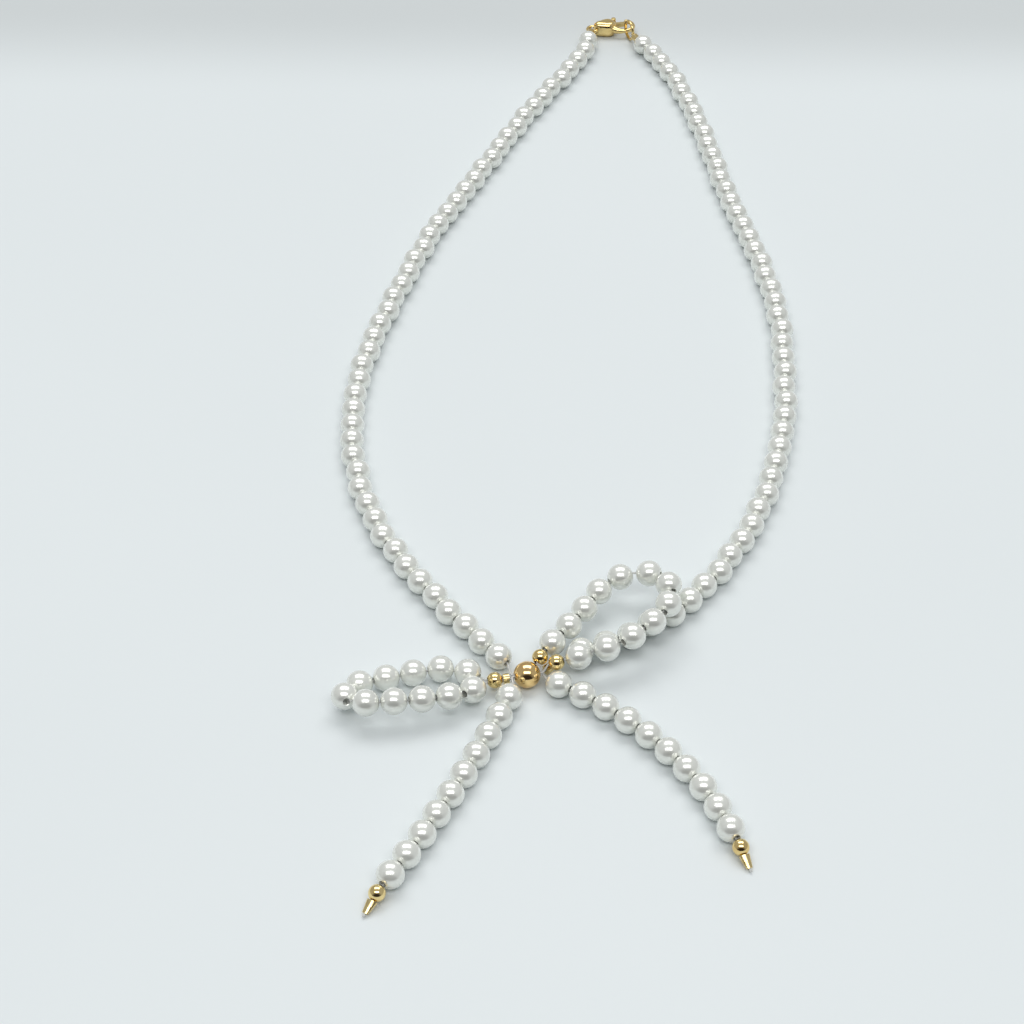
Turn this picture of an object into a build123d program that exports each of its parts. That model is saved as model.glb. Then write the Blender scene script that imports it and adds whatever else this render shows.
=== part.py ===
from build123d import *
import os
from math import acos, atan2, cos, degrees, floor, radians, sin, sqrt, tan

# A strand of pearls that closes with a lobster clasp and carries a beaded bow.
# Millimetres. Origin: on the floor under the centre of the bow's large gold bead.
# +Z is up and +Y runs from the bow to the clasp. Everything lies on the floor.

# ---------------------------------------------------------------- driving dimensions
pearl_diameter = 4.0
pearl_bore = 1.0
bead_clearance = 0.01
bead_sway = 0.2
bead_sway_step = 2.4
drill_edge = 0.08

thread_diameter = 0.32

centre_bead_diameter = 4.0
centre_bead_bore = 1.2
small_bead_diameter = 2.4
loop_bead_bore = 0.9
single_bead_bore = 0.7

knot_turn = 12.0
knot_bend = 0.3
pass_offset = 0.2
mouth_gap = 0.35
upper_bead_place = (1.9, 2.34, 3.3)
upper_bead_heading = (0.45, 0.88, 0.15)
outer_bead_place = (4.3, 1.1, 3.5)
outer_bead_heading = (0.966, 0.143, 0.215)
upper_leg_corner = (2.05, 1.05, 2.8)

knot_crimp_diameter = 1.5
knot_crimp_bore = 0.86
knot_crimp_length = 0.85
strand_crimp_length = 1.4
strand_crimp_bore = 0.5
seat_gap = 0.05

end_bead_diameter = 2.4
tail_crimp_width = 1.6
tail_crimp_height = 1.1
tail_crimp_length = 1.9
tail_crimp_tip_width = 0.9
tail_crimp_tip_height = 0.5
thread_stub = 0.5
tail_tip_height = 0.3

end_crimp_diameter = 1.5
end_crimp_bore = 0.84
end_crimp_length = 1.6
leg_offset = 0.18
leg_bend = 0.45

clasp_thickness = 3.2
clasp_mid_height = clasp_thickness / 2
clasp_eye_radius = 1.05
clasp_eye_wire = 0.7
clasp_neck_position = 1.4
clasp_neck_radius = 1.15
clasp_base_position = 3.2
clasp_base_radius = 1.75
clasp_base_round = 1.1
hook_position = 6.58
hook_radius = 2.1
hook_wire = 0.9
hook_start = -160.0
hook_end = 58.0
claw_root_thickness = 1.9
claw_taper_span = 72.0

lever_pivot_x = 3.4
lever_pivot_y = 0.9
lever_thickness = 0.8
lever_hub_radius = 0.62
lever_tip_x = 7.2
lever_tip_y = 1.12
lever_tip_radius = 0.34
lever_floor = -0.6
lever_side_clearance = 0.05
lever_tab_x = 5.1
lever_tab_y = 2.55
lever_tab_radius = 0.5
lever_tab_height = 1.7
slot_side_clearance = 0.12
lever_travel = 20.0

pin_diameter = 0.7
pin_running_clearance = 0.05
spring_wire = 0.15
spring_radius = 0.56
spring_turns = 2

end_ring_radius = 1.9
end_ring_wire = 0.6
ring_rest_distance = 1.2
ring_rest_angle = -75.0

arc_share = 0.45
least_bend = 3.0

# ---------------------------------------------------------------- routes of the thread
# The thread lies at the height of the pearls' centres. Each list runs away from the bow.
left_lower_route = [
    (-2.9, 2.2, 2.0), (-7.9, 8.0, 2.0), (-15.4, 17.9, 2.0), (-22.0, 28.2, 2.0),
    (-26.6, 39.3, 2.0), (-29.1, 51.1, 2.0), (-29.5, 59.3, 2.0),
]
left_middle_route = [
    (-29.5, 59.3, 2.0), (-29.5, 67.3, 2.0), (-27.8, 79.2, 2.0), (-24.9, 91.0, 2.0),
    (-21.7, 102.6, 2.0), (-18.2, 114.2, 2.0), (-14.9, 121.8, 2.0),
]
left_upper_route = [
    (-14.9, 121.8, 2.0), (-11.9, 129.4, 2.0), (-7.2, 140.6, 2.0), (-2.7, 151.7, 2.0),
    (2.4, 162.6, 2.0), (8.0, 173.4, 2.0), (10.6, 179.6, 2.0), (11.9, 186.4, 2.0),
]
right_lower_route = [
    (6.1, 4.3, 2.0), (13.6, 7.2, 2.0), (23.5, 14.3, 2.0), (30.6, 24.1, 2.0),
    (36.1, 34.9, 2.0), (39.8, 46.4, 2.0), (41.5, 54.3, 2.0),
]
right_middle_route = [
    (41.5, 54.3, 2.0), (42.9, 62.3, 2.0), (43.6, 74.4, 2.0), (44.0, 86.5, 2.0),
    (42.8, 98.5, 2.0), (40.7, 110.4, 2.0), (38.9, 118.3, 2.0),
]
right_upper_route = [
    (38.9, 118.3, 2.0), (37.1, 126.2, 2.0), (35.3, 138.1, 2.0), (33.4, 150.0, 2.0),
    (30.9, 161.9, 2.0), (27.6, 173.5, 2.0), (22.0, 184.6, 2.0),
]
left_tail_route = [
    (-1.9, -2.6, 2.0), (-4.6, -10.2, 2.0), (-9.5, -21.3, 2.0), (-15.0, -32.2, 2.0),
    (-19.1, -39.2, 2.0),
]
right_tail_route = [
    (2.9, -0.9, 2.0), (9.9, -5.0, 2.0), (16.1, -10.2, 2.0), (21.5, -16.3, 2.0),
    (25.8, -23.2, 2.0), (28.8, -30.7, 2.0),
]
left_loop_lead = 1.05
right_loop_lead = 0.0


# ---------------------------------------------------------------- helpers
def heading(angle):
    """Unit vector in the floor plane at an angle from +X."""
    return Vector(cos(radians(angle)), sin(radians(angle)), 0)


def turn_at(before, corner, after):
    """Turn of the route at a corner, in degrees."""
    return (Vector(corner) - Vector(before)).get_angle(Vector(after) - Vector(corner))


def corner_radii(route):
    """Bend radius of the thread at each corner of its route."""
    radii = []
    for before, corner, after in zip(route, route[1:], route[2:]):
        run_in = (Vector(corner) - Vector(before)).length
        run_out = (Vector(after) - Vector(corner)).length
        half_turn = radians(turn_at(before, corner, after)) / 2
        widest = arc_share * min(run_in, run_out) / tan(half_turn)
        play = (pearl_bore - thread_diameter) / 2
        inside_bore = play / (1 / cos(half_turn) - 1)
        radii.append(min(widest, max(inside_bore, least_bend * thread_diameter)))
    return radii


def thread_path(route, radii):
    """Straight runs joined by tangent arcs."""
    if len(route) == 2:
        return Line(route[0], route[1])
    return FilletPolyline(*route, radius=radii)


def thread_along(path):
    """The thread as a round tube along a path."""
    section = Plane(origin=path @ 0, z_dir=path % 0) * Circle(thread_diameter / 2)
    return sweep(section, path=path)


def drilled_bead(diameter, bore):
    """A round bead drilled along Z, its hole's edges broken."""
    bead = Sphere(diameter / 2) - Cylinder(bore / 2, diameter)
    rims = bead.edges().filter_by(GeomType.CIRCLE)
    return chamfer(rims, drill_edge)


def tube(diameter, bore, length):
    """A crimp tube along Z, from its own middle."""
    return Cylinder(diameter / 2, length) - Cylinder(bore / 2, length)


def frame_on(origin, direction):
    """A frame whose Z runs along a direction."""
    return Plane(origin=origin, z_dir=direction)


def frames_along(path, bead_diameter, end_clear=0.0):
    """Even places for as many beads as the path takes."""
    usable = path.length - end_clear
    count = floor(usable / (bead_diameter + bead_clearance))
    spacing = usable / count
    places = [spacing * (index + 0.5) / path.length for index in range(count)]
    return [frame_on(path @ place, path % place) for place in places]


def swayed(frames):
    """Beads between the first and the last sit a little off the line, within the play of the hole."""
    moved = [frames[0]]
    for index, frame in enumerate(frames[1:-1]):
        aside = frame.z_dir.cross(Vector(0, 0, 1)) * (bead_sway * sin(bead_sway_step * index))
        moved.append(frame_on(frame.origin + aside, frame.z_dir))
    return moved + [frames[-1]]


def frames_on_runs(route, bead_diameter, lead):
    """Places for beads that each sit on one straight run, clear of the beads round a corner."""
    pitch = bead_diameter + bead_clearance
    corners = [0.0]
    for before, corner, after in zip(route, route[1:], route[2:]):
        half_turn = radians(turn_at(before, corner, after)) / 2
        corners.append(pitch / 2 * (1 / cos(half_turn) - 1))
    corners.append(0.0)
    frames = []
    for index, (start, end) in enumerate(zip(route, route[1:])):
        direction = (Vector(end) - Vector(start)).normalized()
        first = corners[index] + (lead if index == 0 else 0.0)
        last = corners[index + 1] + (lead if index == len(route) - 2 else 0.0)
        usable = (Vector(end) - Vector(start)).length - first - last
        count = floor(usable / pitch)
        for step in range(count):
            distance = first + usable / count * (step + 0.5)
            frames.append(frame_on(Vector(start) + direction * distance, direction))
    return frames


def beads_on(frames, bead):
    """A group of like beads, one on each frame."""
    return Compound(children=[frame * bead for frame in frames])


nodes = {}


def keep(name, shape):
    nodes[name] = shape


# ---------------------------------------------------------------- the knot of the bow
centre_height = centre_bead_diameter / 2
knot = Plane(origin=(0, 0, centre_height), x_dir=heading(knot_turn), z_dir=(0, 0, 1))


def in_knot(along, across, up):
    """A point given along the centre bead's hole, across it and above it."""
    return knot.from_local_coords(Vector(along, across, up))


centre_reach = centre_bead_diameter / 2
crimp_start = centre_reach + mouth_gap + thread_diameter + seat_gap
left_crimp_centre = -(crimp_start + knot_crimp_length / 2)
left_bead_centre = -(crimp_start + knot_crimp_length + seat_gap + small_bead_diameter / 2)
left_loop_start = left_bead_centre - small_bead_diameter / 2 - seat_gap
mouth = centre_reach + mouth_gap

keep("centre_gold_bead", frame_on(in_knot(0, 0, 0), knot.x_dir)
     * drilled_bead(centre_bead_diameter, centre_bead_bore))
keep("left_knot_crimp", frame_on(in_knot(left_crimp_centre, 0, -pass_offset), knot.x_dir)
     * tube(knot_crimp_diameter, knot_crimp_bore, knot_crimp_length))
keep("left_small_gold_bead", frame_on(in_knot(left_bead_centre, 0, -pass_offset), knot.x_dir)
     * drilled_bead(small_bead_diameter, loop_bead_bore))

# The two small beads right of the centre bead, each on one leg of the right loop.
upper_bead_centre = Vector(*upper_bead_place)
upper_bead_axis = Vector(*upper_bead_heading).normalized()
outer_bead_centre = Vector(*outer_bead_place)
outer_bead_axis = Vector(*outer_bead_heading).normalized()
small_reach = small_bead_diameter / 2 + seat_gap
keep("upper_small_gold_bead", frame_on(upper_bead_centre, upper_bead_axis)
     * drilled_bead(small_bead_diameter, single_bead_bore))
keep("outer_small_gold_bead", frame_on(outer_bead_centre, outer_bead_axis)
     * drilled_bead(small_bead_diameter, single_bead_bore))

upper_leg_end = upper_bead_centre + upper_bead_axis * small_reach
outer_leg_end = outer_bead_centre + outer_bead_axis * small_reach
back_leg_end = in_knot(left_loop_start, pass_offset, -pass_offset)
front_leg_end = in_knot(left_loop_start, -pass_offset, -pass_offset)

# Four passes of thread go through the centre bead, side by side.
left_strand_pass = [
    left_lower_route[0],
    in_knot(-mouth, pass_offset, pass_offset),
    in_knot(mouth, pass_offset, pass_offset),
    upper_leg_corner,
    upper_bead_centre - upper_bead_axis * small_reach,
    upper_leg_end,
]
left_tail_pass = [
    left_tail_route[0],
    in_knot(-mouth, -pass_offset, pass_offset),
    in_knot(mouth, -pass_offset, pass_offset),
    outer_bead_centre - outer_bead_axis * small_reach,
    outer_leg_end,
]
right_strand_pass = [
    back_leg_end,
    in_knot(mouth, pass_offset, -pass_offset),
    right_lower_route[0],
]
right_tail_pass = [
    front_leg_end,
    in_knot(mouth, -pass_offset, -pass_offset),
    right_tail_route[0],
]
for name, route in (
    ("left_strand_knot_thread", left_strand_pass),
    ("left_tail_knot_thread", left_tail_pass),
    ("right_strand_knot_thread", right_strand_pass),
    ("right_tail_knot_thread", right_tail_pass),
):
    keep(name, thread_along(thread_path(route, [knot_bend] * (len(route) - 2))))

# The right strand is locked where it leaves the knot.
strand_exit = right_strand_pass[1]
exit_direction = (Vector(right_strand_pass[2]) - strand_exit).normalized()
right_crimp_place = strand_exit + exit_direction * (strand_crimp_length / 2 + pass_offset + mouth_gap)
keep("right_knot_crimp", frame_on(right_crimp_place, exit_direction)
     * tube(knot_crimp_diameter, strand_crimp_bore, strand_crimp_length))

# ---------------------------------------------------------------- strands, loops and tails
pearl = drilled_bead(pearl_diameter, pearl_bore)
left_loop_route = [
    front_leg_end, (-9.2, -5.3, 3.2), (-17.0, -7.5, 4.2), (-25.7, -8.1, 4.0),
    (-27.0, -3.2, 2.2), (-18.7, -0.3, 2.0), (-10.6, 1.3, 2.2), back_leg_end,
]
right_loop_route = [
    upper_leg_end, (7.4, 10.2, 3.8), (11.9, 17.2, 4.4), (16.2, 19.2, 5.0), (20.5, 17.3, 5.8),
    (21.8, 12.9, 6.4), (20.1, 8.5, 6.3), (13.8, 2.6, 6.0), outer_leg_end,
]

strand_routes = {
    "left_lower": left_lower_route,
    "left_middle": left_middle_route,
    "left_upper": left_upper_route,
    "right_lower": right_lower_route,
    "right_middle": right_middle_route,
    "right_upper": right_upper_route,
}
for name, route in strand_routes.items():
    radii = corner_radii(route)
    path = thread_path(route, radii)
    keep(name + "_thread", thread_along(path))
    frames = swayed(frames_along(path, pearl_diameter))
    keep(name + "_pearls", beads_on(frames, pearl))
    print(name, "pearls", len(frames), "length", round(path.length, 2), "radii", [round(r, 1) for r in radii])

for name, route, lead in (
    ("left_loop", left_loop_route, left_loop_lead),
    ("right_loop", right_loop_route, right_loop_lead),
):
    radii = corner_radii(route)
    path = thread_path(route, radii)
    keep(name + "_thread", thread_along(path))
    frames = frames_on_runs(route, pearl_diameter, lead)
    keep(name + "_pearls", beads_on(frames, pearl))
    print(name, "pearls", len(frames), "length", round(path.length, 2), "radii", [round(r, 1) for r in radii])

# Each tail dips to the floor through its gold end bead and its crimp.
end_fittings = end_bead_diameter + tail_crimp_length + thread_stub + 2 * seat_gap
for name, route in (("left_tail", left_tail_route), ("right_tail", right_tail_route)):
    last_pearl_end = Vector(route[-1])
    level = (last_pearl_end - Vector(route[-2])).normalized()
    drop = last_pearl_end.Z - tail_tip_height
    reach = sqrt(end_fittings ** 2 - drop ** 2)
    tip = last_pearl_end + level * reach - Vector(0, 0, drop)
    whole = route + [tip]
    radii = corner_radii(whole)
    path = thread_path(whole, radii)
    keep(name + "_thread", thread_along(path))
    frames = frames_along(path, pearl_diameter, end_fittings)
    keep(name + "_pearls", beads_on(frames, pearl))
    down = (tip - last_pearl_end).normalized()
    bead_place = last_pearl_end + down * (end_bead_diameter / 2 + seat_gap)
    keep(name + "_end_bead", frame_on(bead_place, down)
         * drilled_bead(end_bead_diameter, single_bead_bore))
    crimp_place = last_pearl_end + down * (end_bead_diameter + 2 * seat_gap)
    crimp_frame = Plane(origin=crimp_place, x_dir=down.cross(Vector(0, 0, 1)), z_dir=down)
    wide_end = Ellipse(tail_crimp_width / 2, tail_crimp_height / 2)
    tip_end = Plane.XY.offset(tail_crimp_length) * Ellipse(
        tail_crimp_tip_width / 2, tail_crimp_tip_height / 2)
    crimp = loft([wide_end, tip_end])
    crimp -= Cylinder(thread_diameter / 2, 3 * tail_crimp_length)
    keep(name + "_crimp", crimp_frame * crimp)
    print(name, "pearls", len(frames), "length", round(path.length, 2), "radii", [round(r, 1) for r in radii])

# ---------------------------------------------------------------- ends of the strand
left_end = Vector(left_upper_route[-1])
left_direction = (left_end - Vector(left_upper_route[-2])).normalized()
right_end = Vector(right_upper_route[-1])
right_direction = (right_end - Vector(right_upper_route[-2])).normalized()

crimp_middle = seat_gap + end_crimp_length / 2
crimp_far = seat_gap + end_crimp_length
for name, end, direction in (
    ("left_end_crimp", left_end, left_direction),
    ("right_end_crimp", right_end, right_direction),
):
    keep(name, frame_on(end + direction * crimp_middle, direction)
         * tube(end_crimp_diameter, end_crimp_bore, end_crimp_length))

# Left: the thread's eye stands upright and runs down through the clasp's eye.
thread_play = thread_diameter / 2 + seat_gap
eye_drop = left_end.Z - clasp_mid_height
eye_outside = clasp_eye_radius + clasp_eye_wire / 2
left_eye_distance = crimp_far + eye_outside + thread_diameter + 2 * seat_gap
over_eye = max(clasp_eye_wire / 2 + thread_play - eye_drop, leg_offset)
under_eye = -(clasp_eye_wire / 2 + thread_play + eye_drop)
left_eye_plane = Plane(origin=left_end, x_dir=left_direction,
                       z_dir=left_direction.cross(Vector(0, 0, 1)))
left_eye_points = [
    (0, 0), (end_crimp_length / 3, leg_offset), (left_eye_distance, over_eye),
    (left_eye_distance, under_eye), (crimp_far + thread_play, under_eye),
    (crimp_far - seat_gap, -leg_offset), (seat_gap, -leg_offset),
]
left_eye_route = [left_eye_plane.from_local_coords(Vector(x, y, 0)) for x, y in left_eye_points]
left_eye_radii = [thread_diameter, leg_bend, leg_bend, thread_diameter, thread_diameter]
keep("left_thread_eye", thread_along(thread_path(left_eye_route, left_eye_radii)))
clasp_axis = left_end + left_direction * left_eye_distance

# Right: the thread's eye lies flat round the upright wire of the end ring.
ring_play = end_ring_wire / 2 + thread_play
right_eye_distance = crimp_far + end_ring_wire / 2 + 2 * thread_play
right_eye_plane = Plane(origin=right_end, x_dir=right_direction, z_dir=(0, 0, 1))
right_eye_points = [
    (0, 0), (end_crimp_length / 3, leg_offset), (crimp_far, leg_offset),
    (right_eye_distance, ring_play + seat_gap), (right_eye_distance + ring_play, ring_play + seat_gap),
    (right_eye_distance + ring_play, -ring_play - seat_gap), (right_eye_distance, -ring_play - seat_gap),
    (crimp_far, -leg_offset), (seat_gap, -leg_offset),
]
right_eye_route = [right_eye_plane.from_local_coords(Vector(x, y, 0)) for x, y in right_eye_points]
right_eye_radii = [thread_diameter, thread_diameter, thread_diameter, leg_bend, leg_bend,
                   thread_diameter, thread_diameter]
keep("right_thread_eye", thread_along(thread_path(right_eye_route, right_eye_radii)))
ring_axis = right_end + right_direction * right_eye_distance

# ---------------------------------------------------------------- clasp and end ring
# The clasp, the ring and the line between their axes make a triangle, which sets both headings.
ring_height = end_ring_radius + end_ring_wire / 2
ring_level_drop = ring_height - clasp_mid_height
ring_reach = end_ring_radius + sqrt(end_ring_radius ** 2 - ring_level_drop ** 2)
rest_x = hook_position + ring_rest_distance * cos(radians(ring_rest_angle))
rest_y = ring_rest_distance * sin(radians(ring_rest_angle))
clasp_reach = sqrt(rest_x ** 2 + rest_y ** 2)
span = Vector(ring_axis.X - clasp_axis.X, ring_axis.Y - clasp_axis.Y, 0)
span_heading = degrees(atan2(span.Y, span.X))
opening = degrees(acos((clasp_reach ** 2 + span.length ** 2 - ring_reach ** 2)
                       / (2 * clasp_reach * span.length)))
clasp_heading = span_heading + opening - degrees(atan2(rest_y, rest_x))
clasp_origin = Vector(clasp_axis.X, clasp_axis.Y, clasp_mid_height)
spring_pitch = spring_wire + lever_side_clearance / 2
spring_floor = lever_floor + lever_thickness + lever_side_clearance
spring_height = spring_pitch * spring_turns + spring_wire
clasp_frame = Plane(origin=clasp_origin, x_dir=heading(clasp_heading), z_dir=(0, 0, 1))
ring_rest = clasp_frame.from_local_coords(Vector(rest_x, rest_y, 0))
ring_pull = Vector(ring_axis.X - ring_rest.X, ring_axis.Y - ring_rest.Y, 0).normalized()
ring_centre = Vector(ring_axis.X, ring_axis.Y, ring_height) - ring_pull * end_ring_radius
keep("end_ring", Plane(origin=ring_centre, x_dir=ring_pull, z_dir=ring_pull.cross(Vector(0, 0, 1)))
     * Torus(end_ring_radius, end_ring_wire / 2))


def claw():
    """The hook: thick where it leaves the base, narrowing outside its round opening to an even wire."""
    centre = (hook_position, 0, 0)
    root_path = CenterArc(centre, hook_radius, hook_start, claw_taper_span)
    sections = []
    for share in (0, 0.25, 0.5, 0.75, 1):
        thickness = claw_root_thickness + (hook_wire - claw_root_thickness) * share * (2 - share)
        place = root_path @ share
        outward = (place - Vector(*centre)).normalized() * (thickness - hook_wire) / 2
        sections.append(frame_on(place + outward, root_path % share) * Circle(thickness / 2))
    root = sweep(sections, path=root_path, multisection=True)
    wire_start = hook_start + claw_taper_span
    wire_path = CenterArc(centre, hook_radius, wire_start, hook_end - wire_start)
    wire = sweep(frame_on(wire_path @ 0, wire_path % 0) * Circle(hook_wire / 2), path=wire_path)
    return root + wire + Pos(wire_path @ 1) * Sphere(hook_wire / 2)


def clasp_body():
    """Cast body: an eye, a pear-shaped base split by a slot, and the claw that makes the hook."""
    neck = Pos(clasp_neck_position, 0) * Circle(clasp_neck_radius)
    base = Pos(clasp_base_position, 0) * Circle(clasp_base_radius)
    outline = make_hull(neck.edges() + base.edges())
    body = extrude(outline, clasp_thickness / 2, both=True)
    body = fillet(body.edges().group_by(Axis.Z)[0] + body.edges().group_by(Axis.Z)[-1], clasp_base_round)
    body -= Pos(hook_position, 0, 0) * Cylinder(hook_radius - hook_wire / 2, clasp_thickness)
    body += claw()
    body += Torus(clasp_eye_radius, clasp_eye_wire / 2)
    body -= Cylinder(clasp_eye_radius - clasp_eye_wire / 2, clasp_thickness)
    return body


def slot_for_lever():
    """Room for the lever, its hub and its spring in the base."""
    slot_floor = lever_floor - lever_side_clearance
    slot_top = spring_floor + spring_height + lever_side_clearance
    hub_room = Pos(lever_pivot_x, lever_pivot_y) * Circle(lever_hub_radius + slot_side_clearance)
    reach = hook_position - lever_pivot_x
    bar_room = Rectangle(reach, 2 * (lever_hub_radius + slot_side_clearance),
                         align=(Align.MIN, Align.CENTER))
    outline = hub_room
    for angle in (0, -lever_travel / 2, -lever_travel):
        outline += Pos(lever_pivot_x, lever_pivot_y) * Rot(0, 0, angle) * bar_room
    outline += Pos(lever_pivot_x, lever_pivot_y) * Rot(0, 0, 90) * bar_room
    outline += Pos(lever_pivot_x, lever_pivot_y) * Rot(0, 0, 45) * bar_room
    return Pos(0, 0, slot_floor) * extrude(outline, slot_top - slot_floor)


def clasp_lever():
    """Lever with its hub on the pin, a bar that shuts the hook and a tab for the thumbnail."""
    hub = Pos(lever_pivot_x, lever_pivot_y) * Circle(lever_hub_radius)
    tip = Pos(lever_tip_x, lever_tip_y) * Circle(lever_tip_radius)
    outline = make_hull(hub.edges() + tip.edges())
    arm_base = Pos(lever_tab_x, lever_pivot_y + lever_hub_radius / 2) * Circle(lever_tip_radius)
    arm_end = Pos(lever_tab_x, lever_tab_y) * Circle(lever_tip_radius)
    outline += make_hull(arm_base.edges() + arm_end.edges())
    lever = Pos(0, 0, lever_floor) * extrude(outline, lever_thickness)
    tab_middle = lever_floor + lever_thickness / 2
    tab = Pos(lever_tab_x, lever_tab_y, tab_middle) * Cylinder(lever_tab_radius, lever_tab_height)
    lever += fillet(tab.edges().filter_by(GeomType.CIRCLE), lever_tab_radius / 3)
    pin_hole = pin_diameter / 2 + pin_running_clearance
    lever -= Pos(lever_pivot_x, lever_pivot_y, 0) * Cylinder(pin_hole, 2 * clasp_thickness)
    return lever


def lever_spring():
    """Torsion spring round the pin, over the lever's hub."""
    coil = Helix(pitch=spring_pitch, height=spring_pitch * spring_turns, radius=spring_radius)
    wire = sweep(frame_on(coil @ 0, coil % 0) * Circle(spring_wire / 2), path=coil)
    return Pos(lever_pivot_x, lever_pivot_y, spring_floor + spring_wire / 2) * wire


# The pin's ends are filed flush with the rounded faces of the base.
clasp_casting = clasp_body()
pin_bore = Pos(lever_pivot_x, lever_pivot_y, 0) * Cylinder(pin_diameter / 2, clasp_thickness)
keep("clasp_body", clasp_frame * (clasp_casting - slot_for_lever() - pin_bore))
keep("clasp_pin", clasp_frame * (clasp_casting & pin_bore))
keep("clasp_lever", clasp_frame * clasp_lever())
keep("clasp_lever_spring", clasp_frame * lever_spring())

# ---------------------------------------------------------------- write the pieces
os.makedirs("parts", exist_ok=True)
for name, shape in nodes.items():
    export_step(shape, "parts/" + name + ".step")

lever_axis = clasp_frame.from_local_coords(Vector(lever_pivot_x, lever_pivot_y, 0))
for name, point in (
    ("clasp axis", clasp_axis),
    ("ring axis", ring_axis),
    ("ring rest", ring_rest),
    ("lever axis", lever_axis),
    ("back leg", back_leg_end),
    ("front leg", front_leg_end),
    ("upper leg", upper_leg_end),
    ("outer leg", outer_leg_end),
):
    print(name, [round(value, 3) for value in point])
print("clasp heading", round(clasp_heading, 2), "nodes", len(nodes))
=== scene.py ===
import math

import bmesh
import bpy
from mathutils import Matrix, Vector


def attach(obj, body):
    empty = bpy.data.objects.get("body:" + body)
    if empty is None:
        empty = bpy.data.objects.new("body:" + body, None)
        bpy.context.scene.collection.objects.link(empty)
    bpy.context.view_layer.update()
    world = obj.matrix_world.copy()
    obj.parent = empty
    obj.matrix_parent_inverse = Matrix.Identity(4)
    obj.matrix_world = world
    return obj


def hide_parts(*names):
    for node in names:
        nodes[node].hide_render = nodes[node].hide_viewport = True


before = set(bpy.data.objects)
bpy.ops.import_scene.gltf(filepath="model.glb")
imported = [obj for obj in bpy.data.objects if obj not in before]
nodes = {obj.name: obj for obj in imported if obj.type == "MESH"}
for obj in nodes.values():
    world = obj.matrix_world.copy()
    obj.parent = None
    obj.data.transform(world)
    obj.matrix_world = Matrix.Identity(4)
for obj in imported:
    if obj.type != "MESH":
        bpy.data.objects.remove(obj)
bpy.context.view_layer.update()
scene = bpy.context.scene

# ---------------------------------------------------------------- camera
# A table-top view: the strap lies away from the viewer, bow in front and clasp at the back,
# seen from a little over forty degrees above the table through a long lens.
camera_place = Vector((0.0005, -0.2249, 0.2339))
camera_pitch = math.radians(41.65)
camera_yaw = math.radians(0.69)
camera_data = bpy.data.cameras.new("camera")
camera_data.sensor_width = 36
camera_data.lens = 77.3
camera_data.clip_start = 0.01
camera = bpy.data.objects.new("camera", camera_data)
camera.location = camera_place
camera.rotation_euler = (math.pi / 2 - camera_pitch, 0, camera_yaw)
scene.collection.objects.link(camera)
scene.camera = camera
scene.view_settings.view_transform = "Standard"

# ---------------------------------------------------------------- thread
# Clear nylon monofilament, a third of a millimetre thick, runs through every bead.
# It is limp at this length, and the beads on it hold it at the height of their centres.
# The knot and the crimps hold its ends.
MM = 0.001
thread_width = 0.32 * MM
nylon_deep = (0.72, 0.73, 0.71)
nylon_bright = (0.84, 0.84, 0.82)


def cloudy_tone():
    """Noise over the object's own coordinates: soft clouds for a tone, fine grain for a relief."""
    group = bpy.data.node_groups.new("cloudy_tone", "ShaderNodeTree")
    for label in ("Cloud Scale", "Grain Scale"):
        group.interface.new_socket(label, in_out="INPUT", socket_type="NodeSocketFloat")
    for label in ("Tone", "Relief"):
        group.interface.new_socket(label, in_out="OUTPUT", socket_type="NodeSocketFloat")
    given = group.nodes.new("NodeGroupInput")
    made = group.nodes.new("NodeGroupOutput")
    where = group.nodes.new("ShaderNodeTexCoord")
    clouds = group.nodes.new("ShaderNodeTexNoise")
    clouds.inputs["Detail"].default_value = 3
    grain = group.nodes.new("ShaderNodeTexNoise")
    grain.inputs["Detail"].default_value = 4
    group.links.new(where.outputs["Object"], clouds.inputs["Vector"])
    group.links.new(where.outputs["Object"], grain.inputs["Vector"])
    group.links.new(given.outputs["Cloud Scale"], clouds.inputs["Scale"])
    group.links.new(given.outputs["Grain Scale"], grain.inputs["Scale"])
    group.links.new(clouds.outputs["Fac"], made.inputs["Tone"])
    group.links.new(grain.outputs["Fac"], made.inputs["Relief"])
    return group


cloudy_tone_group = cloudy_tone()


def new_material(name):
    """A node material, its node tree and its Principled shader."""
    material = bpy.data.materials.new(name)
    material.use_nodes = True
    shader = material.node_tree.nodes["Principled BSDF"]
    return material, material.node_tree, shader


def add_tone(tree, cloud_scale, grain_scale):
    """The cloudy tone placed in a material: its tone and its relief, both from 0 to 1."""
    tone = tree.nodes.new("ShaderNodeGroup")
    tone.node_tree = cloudy_tone_group
    tone.inputs["Cloud Scale"].default_value = cloud_scale
    tone.inputs["Grain Scale"].default_value = grain_scale
    return tone.outputs["Tone"], tone.outputs["Relief"]


def add_colour(tree, tone, deep, bright, spread=0.4):
    """A colour that runs from deep to bright over the middle part of the tone, spread wide."""
    ramp = tree.nodes.new("ShaderNodeValToRGB")
    first, last = ramp.color_ramp.elements
    first.position = 0.5 - spread / 2
    first.color = (*deep, 1)
    last.position = 0.5 + spread / 2
    last.color = (*bright, 1)
    tree.links.new(tone, ramp.inputs["Fac"])
    return ramp.outputs["Color"]


def add_roughness(tree, shader, relief, smooth, rough):
    """Roughness between two limits, following the relief."""
    limits = tree.nodes.new("ShaderNodeMapRange")
    limits.inputs["To Min"].default_value = smooth
    limits.inputs["To Max"].default_value = rough
    tree.links.new(relief, limits.inputs["Value"])
    tree.links.new(limits.outputs["Result"], shader.inputs["Roughness"])


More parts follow.
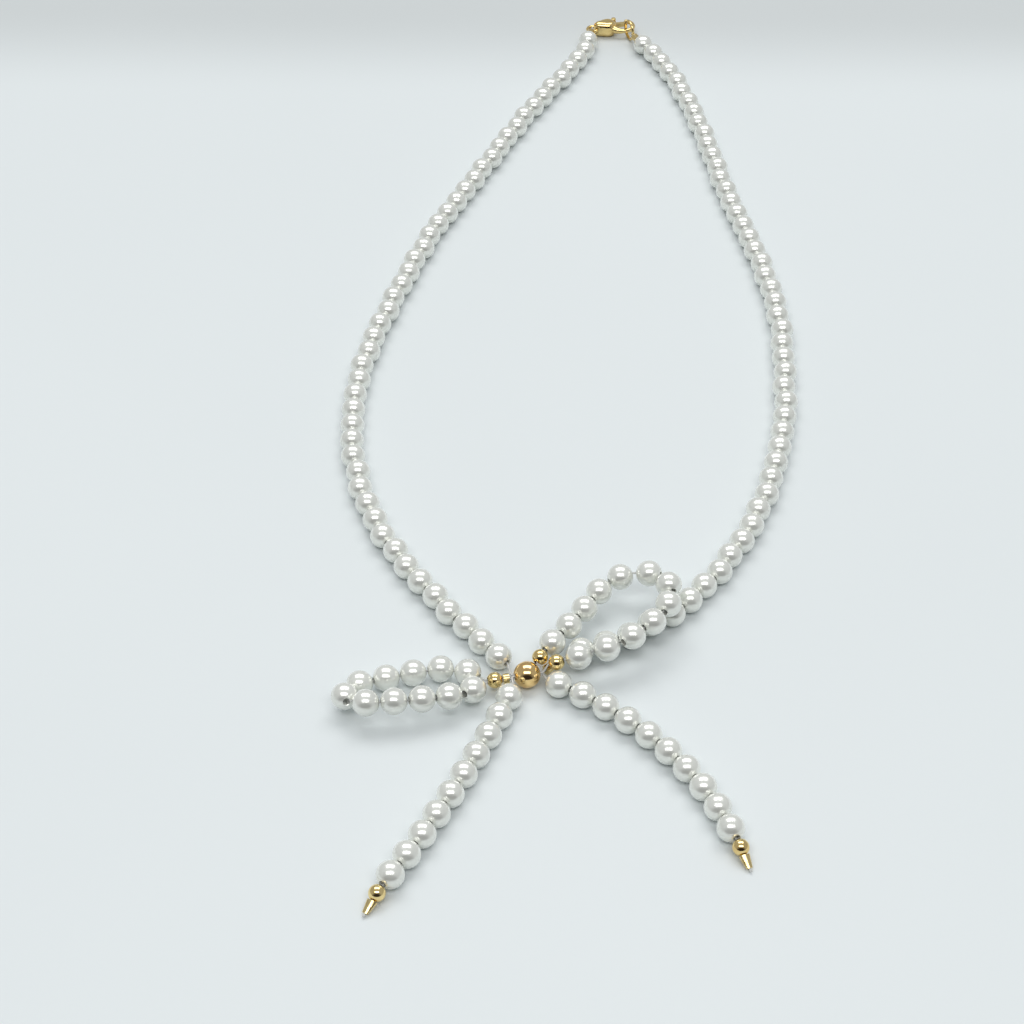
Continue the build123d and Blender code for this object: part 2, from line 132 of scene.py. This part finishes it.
def add_bump(tree, shader, relief, strength, depth):
    """The relief on the shader's normal."""
    bump = tree.nodes.new("ShaderNodeBump")
    bump.inputs["Strength"].default_value = strength
    bump.inputs["Distance"].default_value = depth
    tree.links.new(relief, bump.inputs["Height"])
    tree.links.new(bump.outputs["Normal"], shader.inputs["Normal"])


def nylon():
    """Clear, faintly milky monofilament."""
    material, tree, shader = new_material("nylon_thread")
    tone, relief = add_tone(tree, cloud_scale=500.0, grain_scale=9000.0)
    tree.links.new(add_colour(tree, tone, nylon_deep, nylon_bright), shader.inputs["Base Color"])
    add_roughness(tree, shader, relief, smooth=0.18, rough=0.34)
    add_bump(tree, shader, relief, strength=0.15, depth=0.02 * MM)
    shader.inputs["Transmission Weight"].default_value = 0.35
    shader.inputs["IOR"].default_value = 1.53
    return material


nylon_thread = nylon()


def lay_thread(name, body, route):
    """A free length of thread on its given route, in millimetres, moving with the body of the
    beads strung on it.
    """
    curve = bpy.data.curves.new(name, "CURVE")
    curve.dimensions = "3D"
    curve.resolution_u = 12
    curve.bevel_depth = thread_width / 2
    curve.bevel_resolution = 3
    curve.use_fill_caps = True
    spline = curve.splines.new("NURBS")
    spline.points.add(len(route) - 1)
    for point, place in zip(spline.points, route):
        point.co = (*(Vector(place) * MM), 1)
    spline.order_u = 3
    spline.use_endpoint_u = True
    curve.materials.append(nylon_thread)
    piece = bpy.data.objects.new(name, curve)
    scene.collection.objects.link(piece)
    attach(piece, body)
    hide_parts(body + "_thread")


lay_thread("left_lower_strand_thread", "left_lower", route=[
    (-2.9, 2.2, 2.0), (-7.9, 8.0, 2.0), (-15.4, 17.9, 2.0), (-22.0, 28.2, 2.0),
    (-26.6, 39.3, 2.0), (-29.1, 51.1, 2.0), (-29.5, 59.3, 2.0),
])
lay_thread("left_middle_strand_thread", "left_middle", route=[
    (-29.5, 59.3, 2.0), (-29.5, 67.3, 2.0), (-27.8, 79.2, 2.0), (-24.9, 91.0, 2.0),
    (-21.7, 102.6, 2.0), (-18.2, 114.2, 2.0), (-14.9, 121.8, 2.0),
])
lay_thread("left_upper_strand_thread", "left_upper", route=[
    (-14.9, 121.8, 2.0), (-11.9, 129.4, 2.0), (-7.2, 140.6, 2.0), (-2.7, 151.7, 2.0),
    (2.4, 162.6, 2.0), (8.0, 173.4, 2.0), (10.6, 179.6, 2.0), (11.9, 186.4, 2.0),
])
lay_thread("right_lower_strand_thread", "right_lower", route=[
    (6.1, 4.3, 2.0), (13.6, 7.2, 2.0), (23.5, 14.3, 2.0), (30.6, 24.1, 2.0),
    (36.1, 34.9, 2.0), (39.8, 46.4, 2.0), (41.5, 54.3, 2.0),
])
lay_thread("right_middle_strand_thread", "right_middle", route=[
    (41.5, 54.3, 2.0), (42.9, 62.3, 2.0), (43.6, 74.4, 2.0), (44.0, 86.5, 2.0),
    (42.8, 98.5, 2.0), (40.7, 110.4, 2.0), (38.9, 118.3, 2.0),
])
lay_thread("right_upper_strand_thread", "right_upper", route=[
    (38.9, 118.3, 2.0), (37.1, 126.2, 2.0), (35.3, 138.1, 2.0), (33.4, 150.0, 2.0),
    (30.9, 161.9, 2.0), (27.6, 173.5, 2.0), (22.0, 184.6, 2.0),
])
lay_thread("left_bow_loop_thread", "left_loop", route=[
    (-5.9, -1.46, 1.8), (-9.2, -5.3, 3.2), (-17.0, -7.5, 4.2), (-25.7, -8.1, 4.0),
    (-27.0, -3.2, 2.2), (-18.7, -0.3, 2.0), (-10.6, 1.3, 2.2), (-5.98, -1.07, 1.8),
])
lay_thread("right_bow_loop_thread", "right_loop", route=[
    (2.46, 3.44, 3.49), (7.4, 10.2, 3.8), (11.9, 17.2, 4.4), (16.2, 19.2, 5.0), (20.5, 17.3, 5.8),
    (21.8, 12.9, 6.4), (20.1, 8.5, 6.3), (13.8, 2.6, 6.0), (5.51, 1.28, 3.77),
])
lay_thread("left_hanging_thread", "left_tail", route=[
    (-1.9, -2.6, 2.0), (-4.6, -10.2, 2.0), (-9.5, -21.3, 2.0), (-15.0, -32.2, 2.0),
    (-19.1, -39.2, 2.0), (-21.42, -43.17, 0.3),
])
lay_thread("right_hanging_thread", "right_tail", route=[
    (2.9, -0.9, 2.0), (9.9, -5.0, 2.0), (16.1, -10.2, 2.0), (21.5, -16.3, 2.0),
    (25.8, -23.2, 2.0), (28.8, -30.7, 2.0), (30.51, -34.97, 0.3),
])


def give_finish(material, names):
    """One finish for several of the solid pieces."""
    for name in names:
        nodes[name].material_slots[0].material = material


# The passes through the knot and the two crimped eyes are short, tight turns held by the metal.
give_finish(nylon_thread, [
    "left_strand_knot_thread", "left_tail_knot_thread", "right_strand_knot_thread",
    "right_tail_knot_thread", "left_thread_eye", "right_thread_eye",
])

# ---------------------------------------------------------------- pearls
# Imitation pearls: moulded round beads dipped in many coats of milky, shiny lacquer.
# Each is drilled through the middle and threaded close to its neighbours.
pearl_deep = (0.84, 0.855, 0.80)
pearl_bright = (0.89, 0.90, 0.845)


def pearl_lacquer():
    """Milky lacquer with a metallic lustre under a clear, very smooth top coat."""
    material, tree, shader = new_material("pearl_lacquer")
    tone, relief = add_tone(tree, cloud_scale=260.0, grain_scale=5200.0)
    colour = add_colour(tree, tone, pearl_deep, pearl_bright, spread=0.36)
    tree.links.new(colour, shader.inputs["Base Color"])
    add_roughness(tree, shader, relief, smooth=0.20, rough=0.26)
    add_bump(tree, shader, relief, strength=0.03, depth=0.02 * MM)
    shader.inputs["Metallic"].default_value = 0.42
    shader.inputs["IOR"].default_value = 1.6
    shader.inputs["Coat Weight"].default_value = 1.0
    shader.inputs["Coat Roughness"].default_value = 0.03
    shader.inputs["Coat IOR"].default_value = 1.7
    return material


give_finish(pearl_lacquer(), [name for name in nodes if name.endswith("_pearls")])

# ---------------------------------------------------------------- gold beads
# Drilled brass beads with a bright yellow gold plating. The large one, a little rosier, gathers
# the four passes of thread; small ones sit where the bow loops begin and at the end of each tail.


def gold_plating(name, deep, bright, smooth, rough):
    """Plated brass: slight clouding of the plating and fine polishing marks."""
    material, tree, shader = new_material(name)
    tone, relief = add_tone(tree, cloud_scale=700.0, grain_scale=6500.0)
    tree.links.new(add_colour(tree, tone, deep, bright), shader.inputs["Base Color"])
    add_roughness(tree, shader, relief, smooth, rough)
    add_bump(tree, shader, relief, strength=0.08, depth=0.02 * MM)
    shader.inputs["Metallic"].default_value = 1
    return material


small_bead_gold = gold_plating(
    "small_bead_gold", deep=(0.83, 0.61, 0.26), bright=(0.94, 0.76, 0.375), smooth=0.05, rough=0.13
)
give_finish(small_bead_gold, [
    "left_small_gold_bead", "upper_small_gold_bead", "outer_small_gold_bead",
    "left_tail_end_bead", "right_tail_end_bead",
])
centre_bead_gold = gold_plating(
    "centre_bead_gold", deep=(0.85, 0.56, 0.23), bright=(0.95, 0.70, 0.33), smooth=0.05, rough=0.12
)
give_finish(centre_bead_gold, ["centre_gold_bead"])

# ---------------------------------------------------------------- crimps
# Soft brass tubes, gold plated, squeezed on the thread with pliers, which leaves them less
# bright. Two lie in the knot, one closes each of the two thread eyes, and one ends each tail.
crimp_gold = gold_plating(
    "crimp_gold", deep=(0.70, 0.53, 0.23), bright=(0.90, 0.73, 0.38), smooth=0.14, rough=0.26
)
give_finish(crimp_gold, [
    "left_knot_crimp", "right_knot_crimp", "left_end_crimp", "right_end_crimp",
    "left_tail_crimp", "right_tail_crimp",
])

# ---------------------------------------------------------------- clasp and end ring
# A cast lobster clasp, plated like the beads: body with eye and hook, a lever on a pin,
# and a small steel spring that shuts it. The ring is bent wire, soldered shut.
clasp_gold = gold_plating(
    "clasp_gold", deep=(0.79, 0.57, 0.23), bright=(0.93, 0.735, 0.345), smooth=0.10, rough=0.24
)
give_finish(clasp_gold, ["clasp_body", "clasp_lever", "clasp_pin", "end_ring"])
steel_deep = (0.40, 0.40, 0.41)
steel_bright = (0.58, 0.58, 0.58)


def spring_steel():
    """Drawn steel wire with a faint, fine grain."""
    material, tree, shader = new_material("spring_steel")
    tone, relief = add_tone(tree, cloud_scale=900.0, grain_scale=12000.0)
    tree.links.new(add_colour(tree, tone, steel_deep, steel_bright), shader.inputs["Base Color"])
    add_roughness(tree, shader, relief, smooth=0.22, rough=0.4)
    add_bump(tree, shader, relief, strength=0.1, depth=0.01 * MM)
    shader.inputs["Metallic"].default_value = 1
    return material


give_finish(spring_steel(), ["clasp_lever_spring"])

# ---------------------------------------------------------------- table
# A pale, cool white table top with matt paint, which the strap lies on.
# It runs on far behind the strap, and from a little before the clasp painted shade turns its
# colour greyer, standing in for the dimmer far end.
table_half = 3.0
# Where the painted shade on the far end begins and where it is full, along the table in metres.
painted_shade_starts = 0.165
painted_shade_full = 0.200
near_deep = (0.735, 0.78, 0.79)
near_bright = (0.755, 0.80, 0.81)
# The far end's colours are painted shade: the same paint made greyer, as if less light reached it.
painted_shade_deep = (0.60, 0.635, 0.64)
painted_shade_bright = (0.62, 0.655, 0.66)


def table_paint_and_shade():
    """Matt pale paint with a trace of mottling, and painted shade that makes the far end greyer.
    """
    material, tree, shader = new_material("table_paint_and_shade")
    tone, relief = add_tone(tree, cloud_scale=6.0, grain_scale=900.0)
    where = tree.nodes.new("ShaderNodeTexCoord")
    place = tree.nodes.new("ShaderNodeSeparateXYZ")
    # The share of painted shade grows along the table towards the far end.
    painted_shade_share = tree.nodes.new("ShaderNodeMapRange")
    painted_shade_share.interpolation_type = "SMOOTHSTEP"
    painted_shade_share.inputs["From Min"].default_value = painted_shade_starts
    painted_shade_share.inputs["From Max"].default_value = painted_shade_full
    colour = tree.nodes.new("ShaderNodeMix")
    colour.data_type = "RGBA"
    tree.links.new(where.outputs["Object"], place.inputs["Vector"])
    tree.links.new(place.outputs["Y"], painted_shade_share.inputs["Value"])
    tree.links.new(painted_shade_share.outputs["Result"], colour.inputs["Factor"])
    tree.links.new(add_colour(tree, tone, near_deep, near_bright), colour.inputs["A"])
    tree.links.new(add_colour(tree, tone, painted_shade_deep, painted_shade_bright), colour.inputs["B"])
    tree.links.new(colour.outputs["Result"], shader.inputs["Base Color"])
    add_roughness(tree, shader, relief, smooth=0.5, rough=0.65)
    shader.inputs["Specular IOR Level"].default_value = 0.2
    return material


table_top = bmesh.new()
bmesh.ops.create_grid(table_top, x_segments=1, y_segments=1, size=table_half)
table_mesh = bpy.data.meshes.new("table")
table_top.to_mesh(table_mesh)
table_top.free()
table_mesh.materials.append(table_paint_and_shade())
table = bpy.data.objects.new("table", table_mesh)
scene.collection.objects.link(table)

# ---------------------------------------------------------------- lights
# Two wide soft panels overhead, one in front of the strap and one behind it, in a pale tent
# that is open and darker on the viewer's side.
panel_aim = Vector((0, 0.06, 0))
tent_dark = (0.03, 0.025, 0.025, 1)
tent_pale = (0.43, 0.44, 0.445, 1)
# How far a direction points away from the viewer: -1 is straight at the viewer.
dark_up_to = -0.8
pale_from = -0.42


def soft_panel(name, place, width, depth, power):
    """A wide overhead panel that faces the strap."""
    panel = bpy.data.lights.new(name, "AREA")
    panel.shape = "RECTANGLE"
    panel.size = width
    panel.size_y = depth
    panel.energy = power
    lamp = bpy.data.objects.new(name, panel)
    lamp.location = place
    lamp.rotation_euler = (Vector(place) - panel_aim).to_track_quat("Z", "Y").to_euler()
    scene.collection.objects.link(lamp)


def pale_tent():
    """The surround: pale, and dark towards the viewer, where the tent is open."""
    world = bpy.data.worlds.new("tent")
    world.use_nodes = True
    tree = world.node_tree
    direction = tree.nodes.new("ShaderNodeTexCoord")
    parts = tree.nodes.new("ShaderNodeSeparateXYZ")
    pale_share = tree.nodes.new("ShaderNodeMapRange")
    pale_share.inputs["From Min"].default_value = dark_up_to
    pale_share.inputs["From Max"].default_value = pale_from
    colour = tree.nodes.new("ShaderNodeMix")
    colour.data_type = "RGBA"
    colour.inputs["A"].default_value = tent_dark
    colour.inputs["B"].default_value = tent_pale
    tree.links.new(direction.outputs["Generated"], parts.inputs["Vector"])
    tree.links.new(parts.outputs["Y"], pale_share.inputs["Value"])
    tree.links.new(pale_share.outputs["Result"], colour.inputs["Factor"])
    tree.links.new(colour.outputs["Result"], tree.nodes["Background"].inputs["Color"])
    return world


soft_panel("front_panel", place=(0.0, -0.44, 0.88), width=1.0, depth=0.34, power=3.95)
soft_panel("back_panel", place=(0.0, 0.50, 0.90), width=1.05, depth=0.50, power=4.7)
scene.world = pale_tent()
